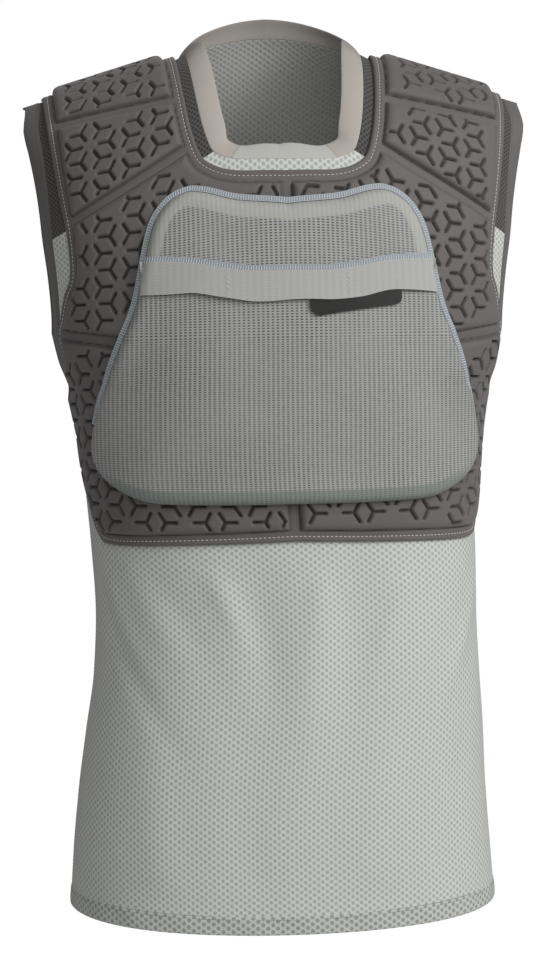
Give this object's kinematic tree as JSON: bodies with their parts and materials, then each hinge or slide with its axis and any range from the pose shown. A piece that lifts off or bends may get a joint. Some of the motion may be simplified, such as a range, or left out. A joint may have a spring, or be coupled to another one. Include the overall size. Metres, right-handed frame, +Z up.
{
  "type": "roost deflector",
  "caption": "Sleeveless mesh vest with an embossed foam chest and shoulder panel and a padded mesh chest pocket, in its worn form.",
  "frame": {"origin": "shoulder seat: the middle between the shoulders, at the height where the straps rest on them", "axes": "+Z up towards the neck, -Y out of the chest, +X towards the wearer's left side"},
  "size_m": [0.3944, 0.2523, 0.7141],
  "materials": {
    "shirt_mesh": "light grey knitted mesh",
    "hem_mesh": "light grey knitted mesh, doubled",
    "yoke_mesh": "dark knitted mesh",
    "binding": "smooth dark elastic",
    "neck_tape": "fine ribbed tape",
    "foam": "matte fabric-faced embossed foam",
    "insert_pad": "matte foam",
    "pocket_mesh": "grey knitted mesh",
    "elastic": "ribbed elastic",
    "thread": "overlock thread",
    "label": "smooth, satin"
  },
  "bodies": {
    "root": {"shirt_front": "shirt_mesh", "shirt_back": "shirt_mesh", "hem_band": "hem_mesh", "yoke_left": "yoke_mesh", "yoke_right": "yoke_mesh", "armhole_binding_left": "binding", "armhole_binding_right": "binding", "neck_tape": "neck_tape", "chest_panel": "foam", "pocket_insert": "insert_pad", "pocket_upper": "pocket_mesh", "pocket_lower": "pocket_mesh", "pocket_band": "elastic", "band_seam": "thread", "pocket_edge_seam": "thread", "label_tab": "label"}
  },
  "joints": []
}
